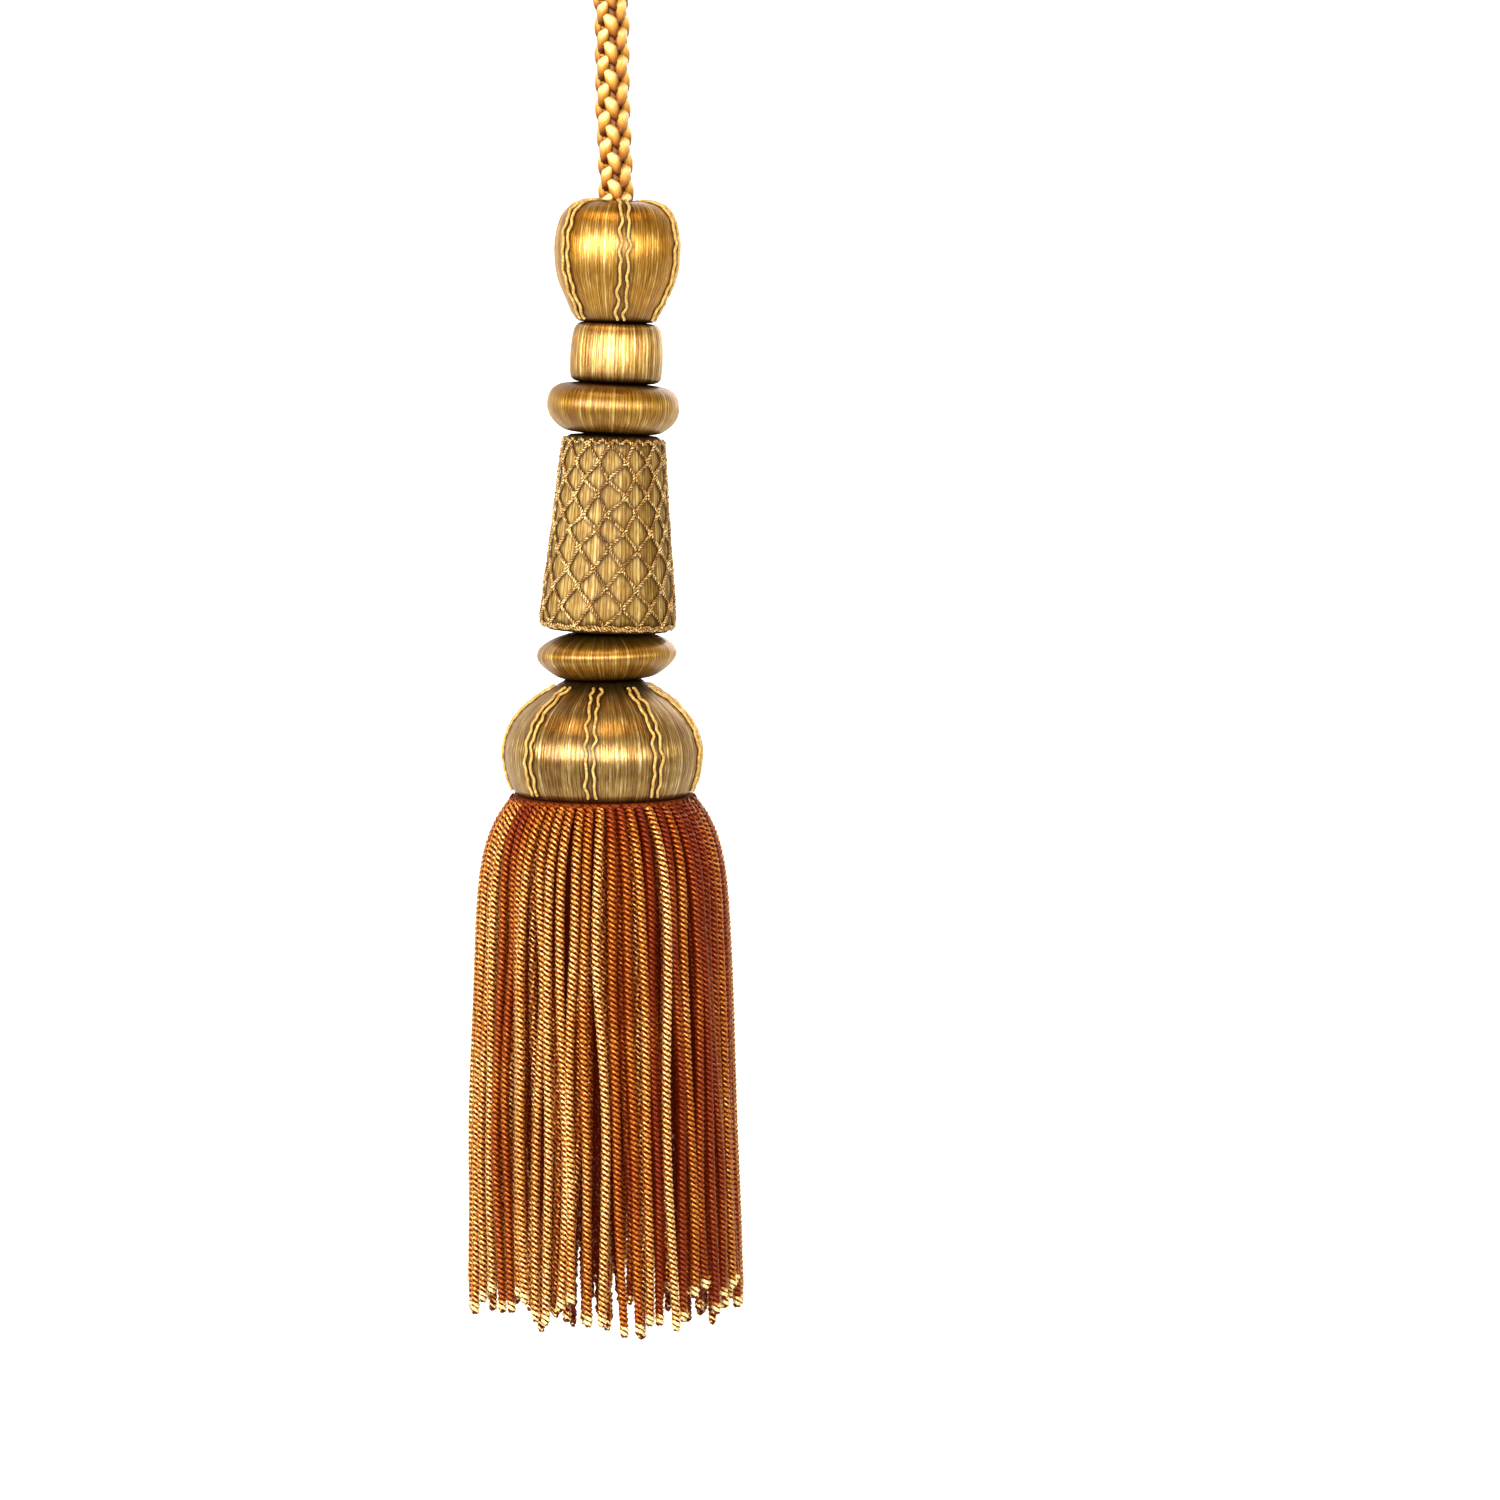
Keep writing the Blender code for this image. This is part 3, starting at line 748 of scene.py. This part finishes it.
own = random.Random("net")
jitter = {
    (row, column): (own.uniform(-0.5, 0.5), own.uniform(-0.6, 0.6) if 0 < row < NET_ROWS else 0.0)
    for row in range(NET_ROWS + 1)
    for column in range(NET_ROUND)
}
lines = []
for column in range(NET_ROUND):
    for way in (1, -1):
        line = []
        shade = own.random()
        for row in range(NET_ROWS + 1):
            met = column if way == 1 or row % 2 == 0 else (column - 1) % NET_ROUND
            angle = math.tau * (met + 0.5 * (row % 2)) / NET_ROUND
            across, along = jitter[row, met]
            # Each cord keeps to its own side of a meeting, and runs beside its neighbour for a moment.
            side = MEETING * (-way if row % 2 else way)
            # Before, at and after the meeting: how far the cord stands off the floss, and how far aside.
            for past, out, beside in ((-1, 0.9, 0.8), (0, 1.25, 1.0), (1, 0.9, 0.8)):
                height = net_row(row) + along - past * MEETING_LENGTH
                height = min(max(height, -NET_BOTTOM - 0.3), -NET_TOP + 0.3)
                line.append((height, across + side * beside, angle, NET_RADIUS * out))
        places = []
        for number, (height, across, angle, out) in enumerate(line):
            girth = KNOT_GIRTH if number % 3 == 1 else NEAR_KNOT_GIRTH
            places.append((on_net(height, across, angle, out + 0.1), 1.0, girth, shade))
            if number + 1 < len(line):
                next_height, next_across, next_angle, next_out = line[number + 1]
                turn = (next_angle - angle + math.pi) % math.tau - math.pi
                for share in (0.25, 0.5, 0.75):
                    place = on_net(
                        height + (next_height - height) * share,
                        across + (next_across - across) * share + own.uniform(-0.12, 0.12),
                        angle + turn * share,
                        out + (next_out - out) * share + 0.1,
                    )
                    places.append((place, 1.0, own.uniform(0.7, 1.15), shade))
        lines.append(places)
# The edge cords: their height, and how often and how far they wave.
for edge, waves, swing in (
    (-NET_TOP + 0.3, 26, 0.5), (-NET_BOTTOM - 0.1, 22, 0.22), (-NET_BOTTOM - 0.65, 31, 0.18)
):
    line = []
    for step in range(EDGE_STEPS + 1):
        turn = math.tau * step / EDGE_STEPS
        place = on_net(edge + swing * math.sin(waves * turn), 0.0, turn, NET_RADIUS)
        line.append((place, 1.0, own.uniform(0.85, 1.1), 0.5))
    lines.append(line)
shade_beside(bpy.data.objects["trellis_body_floss"], lines, reach=0.95)
net = lay_cords(
    "trellis_net_cords", lines, net_cord(), plies=2, sides=4,
    cord_radius=NET_RADIUS, ply_radius=NET_PLY, twist_length=1.6, step=0.3,
)
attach(net, "root")
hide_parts("trellis_net")

# Bullion skirt
# Strands of two-ply rayon bullion, each one cord doubled and twisted on itself, so that it ends in a loop.
# Four layers are sewn into a narrow heading, arch out from under the bulb and hang.
BAND_TOP = 143.35
BAND_HEIGHT = 1.2
BAND_SHIFT = -2.6
SKIRT_FLARE_DEPTH = 9.0
SKIRT_LENGTH = 121.0
SKIRT_DRIFT = 0.8
SkirtLayer = namedtuple("SkirtLayer", "count root flare spread girth parts sides step")
# From the outer layer in. The hidden ones are thicker, which closes most gaps, and more coarsely made.
SKIRT_LAYERS = (
    SkirtLayer(count=58, root=21.8, flare=8.0, spread=3.4, girth=1.0, parts=3, sides=5, step=0.45),
    SkirtLayer(count=44, root=18.9, flare=6.6, spread=3.2, girth=1.12, parts=2, sides=4, step=0.58),
    SkirtLayer(count=32, root=15.9, flare=4.8, spread=2.8, girth=1.25, parts=1, sides=3, step=0.7),
    SkirtLayer(count=20, root=12.8, flare=2.8, spread=2.2, girth=1.35, parts=1, sides=3, step=0.9),
)
# Where the strands part low down: across, depth, half the height, half the width, and how far it is felt.
PARTINGS = ((-18.0, 80.0, 26.0, 1.5, 9.0), (4.5, 104.0, 30.0, 1.2, 8.0))
BULLION_RADIUS = 1.2
BULLION_PLY = 0.61
BULLION_TWIST = -2.5
# One of many ways for the strands to hang, taken because no stray gap shows through from the front.
HANG = 70
# Painted shade: how much darker a strand is for each millimetre that it lies deeper, for each layer, and on
# the right, where the skirt lies in shade.
SUNK_SHADE = 0.22
LAYER_SHADE = 0.45
RIGHT_SHADE = 0.36
RIGHT_REACH = 20.0
RIGHT_DEPTH = 30.0
# Distance from the strand's end, how far the plies stand apart, their girth, and how much paler they are.
LOOPED_END = (
    (3.0, 1.0, 1.0, 0.0), (1.8, 1.18, 1.0, 0.1), (0.8, 1.2, 0.98, 0.3), (0.25, 0.9, 0.95, 0.5),
    (0.0, 0.5, 0.75, 0.6),
)


def rayon_bullion():
    """Shiny rayon wrapped on the plies: painted highlight, pale gold, where it stands out, and painted shade,
    deep rust, between the turns.
    """
    made, shader, wire = thread_finish("Rayon bullion", roughness=0.36, metallic=0.6, specular=0.6)
    tint = wire.attribute("tint")
    place = wire.place()
    fuzz = wire.noise(place, 1400.0)
    patches = wire.noise(place, 60.0)
    wraps = wire.maths("SINE", (wire.attribute("run") * 2600.0 + wire.attribute("around")) * math.tau)
    # The looped ends, whose tint is above one, are pale all over.
    paler = wire.maths("MAXIMUM", tint - 1.1, 0.0) * 3.0
    depth = wire.attribute("lift") * 5.0 - 3.95 + (fuzz - 0.5) * 0.3 + paler
    shade = tint + (patches - 0.5) * 0.7
    tone = (depth * (shade * 0.6 + 0.46)).clamped().ramp(
        (0.0, (0.06, 0.002, 0.0)), (0.2, (0.21, 0.020, 0.001)),
        (0.42, (0.57, 0.22, 0.012)), (0.68, (0.97, 0.83, 0.38)),
    )
    # A faint red glow, painted light that stands in for light through the dyed yarn, keeps the gaps between
    # strands a dark red.
    shader.inputs["Emission Color"].default_value = (1.0, 0.06, 0.0, 1.0)
    shader.inputs["Emission Strength"].default_value = 0.03
    finish_with(shader, wire, tone, wraps, 0.000012)
    return made


def strand_length(layer, index):
    """How far a strand hangs below the heading, in millimetres."""
    return SKIRT_LENGTH + random.Random(f"length {layer} {index}").uniform(-5.5, 5.5)


def strand_point(layer, index, depth):
    """A point of one strand's centreline, in millimetres about and below the heading."""
    laid = SKIRT_LAYERS[layer]
    own = random.Random(f"strand {layer} {index}")
    low = depth / SKIRT_LENGTH
    # The outer strands are sewn on evenly, and the hidden ones more loosely.
    loose = 0.3 if layer else 0.05
    angle = math.tau * (index + 0.25 * layer + own.uniform(-loose, loose)) / laid.count
    radius = laid.root + laid.flare * (1.0 - math.exp(-depth / SKIRT_FLARE_DEPTH)) + laid.spread * low
    # The skirt isn't quite round, and no strand hangs quite plumb.
    radius += (own.uniform(-0.7, 0.7) + 0.7 * math.sin(3.0 * angle + 1.0)) * low
    hangs_at = (laid.root + laid.flare + 0.7 * laid.spread) * math.sin(angle)
    angle += 0.02 * math.sin(7.0 * angle + 0.6) * low**1.5 + own.uniform(-0.5, 0.5) * low**2 / radius
    x = radius * math.sin(angle)
    y = -radius * math.cos(angle)
    for across, middle, half_height, half_width, reach in PARTINGS:
        open_here = math.exp(-(((depth - middle) / half_height) ** 2))
        x += math.copysign(half_width * open_here * math.exp(-abs(x - across) / reach), hangs_at - across)
    x += SKIRT_DRIFT * low
    sway = own.uniform(0.1, 0.4) * low * math.sin(math.tau * (depth / own.uniform(55.0, 90.0) + own.random()))
    return Vector((x + sway, y + sway * 0.5, -depth))


def bullion_line(layer, index):
    """One strand from inside the heading to its looped end."""
    own = random.Random(f"hang {HANG} {layer} {index}")
    # Each layer further in carries more painted shade, besides the strand's own random tone.
    tint = own.uniform(0.15, 1.05) - LAYER_SHADE * layer
    length = strand_length(layer, index)
    sunk = own.uniform(0.0, 2.0) if layer == 0 else 0.0
    # Painted shade: strands that lie deeper, and those on the right, are darker.
    place = strand_point(layer, index, RIGHT_DEPTH)
    tint -= SUNK_SHADE * sunk + RIGHT_SHADE * max(0.0, min(1.0, place.x / RIGHT_REACH))
    wander, turns, start = own.uniform(0.2, 1.6), own.uniform(0.3, 1.2), own.random()
    heading = Vector((BAND_SHIFT, 0.0, KNOB_TOP_Z - BAND_TOP - BAND_HEIGHT))

    def hanging(depth):
        """The strand's place, with its own small lean in from its neighbours and sideways."""
        place = strand_point(layer, index, depth)
        low = depth / SKIRT_LENGTH
        outward = Vector((place.x, place.y, 0.0)).normalized()
        aside = Vector((-outward.y, outward.x, 0.0)) * math.sin(math.tau * (turns * low + start)) * wander
        return heading + place - outward * (sunk * min(1.0, 4.0 * low)) + aside * min(1.0, 3.0 * low)

    line = [(hanging(0.0) + Vector((0.0, 0.0, 0.8 * BAND_HEIGHT)), 0.9, 0.85, tint)]
    # The points lie close together where the strand arches out, and further apart where it hangs.
    stations = [0.0, 1.5, 3.0, 5.0, 7.5, 10.5, 14.0, 18.0, *range(24, int(length) - 8, 6)]
    for depth in (*stations, length - 6.0):
        # Painted shade under the bulb: each strand is darker near the heading.
        painted_shade_under_bulb = 0.35 * math.exp(-depth / SKIRT_FLARE_DEPTH)
        line.append((hanging(depth), 1.0, SKIRT_LAYERS[layer].girth, tint - painted_shade_under_bulb))
    # The plies part in a small loop and come together again at the very end.
    for short, spread, girth, paler in LOOPED_END:
        line.append((hanging(length - short), spread, girth, max(tint, 0.7) + paler if paler else tint))
    return line


bullion_finish = rayon_bullion()
for layer, laid in enumerate(SKIRT_LAYERS):
    for part in range(laid.parts):
        members = range(laid.count * part // laid.parts, laid.count * (part + 1) // laid.parts)
        strands = lay_cords(
            f"bullion_layer_{layer + 1}_part_{part + 1}", [bullion_line(layer, index) for index in members],
            bullion_finish, plies=2, sides=laid.sides, cord_radius=BULLION_RADIUS, ply_radius=BULLION_PLY,
            twist_length=BULLION_TWIST, step=laid.step,
        )
        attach(strands, "root")
        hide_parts("bullion_skirt")

# Skirt heading
# A rust tape under the bulb, wound round in ridges, into which every layer of bullion is sewn. Its dark
# colour is painted shade under the bulb.
HEADING_RADIUS = 22.3
HEADING_RIDGE = 0.25
HEADING_RIDGE_APART = 3.0
HEADING_COLUMNS = 72
TOP_ROWS = 14
RIDGED_ROWS = 44


def heading_tape():
    """Dull rust tape with a fine weave, dark as painted shade under the bulb."""
    made, shader, wire = thread_finish("Rust heading tape", roughness=0.8, metallic=0.0, specular=0.2)
    place = wire.place()
    rings = {"wave_type": "RINGS", "rings_direction": "Z"}
    weave = wire.node("ShaderNodeTexWave", rings, {"Vector": place, "Scale": 900.0})
    tone = (weave * 0.5 + wire.noise(place, 1600.0) * 0.8 - 0.15).clamped()
    finish_with(shader, wire, tone.blend((0.05, 0.004, 0.0), (0.28, 0.05, 0.004)), weave, 0.00005)
    return made


# Flat above and rounded at its rim, with a ridge below between every two layers of strands.
rim = HEADING_RADIUS - BAND_HEIGHT / 2
profile = [(rim * step / TOP_ROWS, 0.0) for step in range(1, TOP_ROWS + 1)]
profile += [(HEADING_RADIUS, -0.3 * BAND_HEIGHT), (HEADING_RADIUS, -0.7 * BAND_HEIGHT)]
for step in range(RIDGED_ROWS, 0, -1):
    radius = rim * step / RIDGED_ROWS
    ridge = math.cos(math.tau * (radius - SKIRT_LAYERS[-1].root) / HEADING_RIDGE_APART)
    profile.append((radius, -BAND_HEIGHT + HEADING_RIDGE * ridge))
seat = Vector((BAND_SHIFT, 0.0, KNOB_TOP_Z - BAND_TOP))
points = [
    seat + about_axis(radius, math.tau * column / HEADING_COLUMNS, height)
    for radius, height in profile
    for column in range(HEADING_COLUMNS)
]
faces = tube_faces(0, len(profile), HEADING_COLUMNS)
heading = add_mesh("skirt_heading", points, faces, heading_tape(), {})
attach(heading, "root")
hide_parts("bullion_skirt")

# Studio
# A pale floor that sweeps up behind, and soft light from the front left at the height of the tassel.
FLOOR_HEIGHT = -1.2
FLOOR_FRONT = -6.0
FLOOR_HALF_WIDTH = 6.0
BEND_STARTS = 1.2
BEND_RADIUS = 0.8
BEND_STEPS = 8
WALL_TOP = 5.0


def pale_floor():
    """A pale paper that glows a little, less in front of the tassel, so that the undersides stay dark."""
    made = bpy.data.materials.new("Pale floor")
    made.use_nodes = True
    shader = made.node_tree.nodes["Principled BSDF"]
    shader.inputs["Base Color"].default_value = (0.7, 0.7, 0.7, 1.0)
    shader.inputs["Roughness"].default_value = 0.9
    shader.inputs["Emission Strength"].default_value = 0.9
    wire = Wire(made.node_tree)
    back = wire.node("ShaderNodeSeparateXYZ", {}, {0: wire.place()}, "Y")
    glow = (back * 1.6).clamped().blend((0.3, 0.3, 0.3), (1.0, 1.0, 1.0))
    made.node_tree.links.new(glow.socket, shader.inputs["Emission Color"])
    return made


sweep = [(FLOOR_FRONT, FLOOR_HEIGHT)]
for step in range(BEND_STEPS + 1):
    turn = math.pi / 2 * step / BEND_STEPS
    sweep.append((
        BEND_STARTS + BEND_RADIUS * math.sin(turn), FLOOR_HEIGHT + BEND_RADIUS * (1.0 - math.cos(turn))
    ))
sweep.append((BEND_STARTS + BEND_RADIUS, WALL_TOP))
floor_mesh = bpy.data.meshes.new("Floor")
floor_mesh.from_pydata(
    [(side, y, z) for y, z in sweep for side in (-FLOOR_HALF_WIDTH, FLOOR_HALF_WIDTH)], [],
    [(2 * row, 2 * row + 1, 2 * row + 3, 2 * row + 2) for row in range(len(sweep) - 1)],
)
floor_mesh.materials.append(pale_floor())
floor_mesh.shade_smooth()
floor = bpy.data.objects.new("Floor", floor_mesh)
bpy.context.collection.objects.link(floor)

world = bpy.data.worlds.new("Studio")
bpy.context.scene.world = world
world.use_nodes = True
world.node_tree.nodes["Background"].inputs["Color"].default_value = (1.0, 0.82, 0.60, 1.0)
world.node_tree.nodes["Background"].inputs["Strength"].default_value = 0.2
lit_point = Vector((0.0, 0.0, -0.2))
# Each lamp's place, width, height, watts and colour. All of them face the lit point, inside the tassel.
for name, place, width, height, energy, colour in (
    ("Key", (-0.45, -1.08, 0.03), 2.6, 0.38, 38.0, (1.0, 1.0, 1.0)),
    ("Fill", (0.95, -0.85, 0.0), 1.3, 0.34, 6.0, (1.0, 0.95, 0.85)),
    ("Top", (-0.2, -0.6, 0.8), 0.9, 0.5, 9.0, (1.0, 0.66, 0.28)),
    ("Back", (0.4, 1.0, 0.2), 0.8, 0.8, 5.0, (1.0, 1.0, 1.0)),
):
    light = bpy.data.lights.new(name, "AREA")
    light.shape = "RECTANGLE"
    light.size = width
    light.size_y = height
    light.energy = energy
    light.color = colour
    lamp = bpy.data.objects.new(name, light)
    lamp.location = place
    lamp.rotation_euler = (Vector(place) - lit_point).to_track_quat("Z", "Y").to_euler()
    bpy.context.collection.objects.link(lamp)
bpy.context.scene.view_settings.view_transform = "Standard"
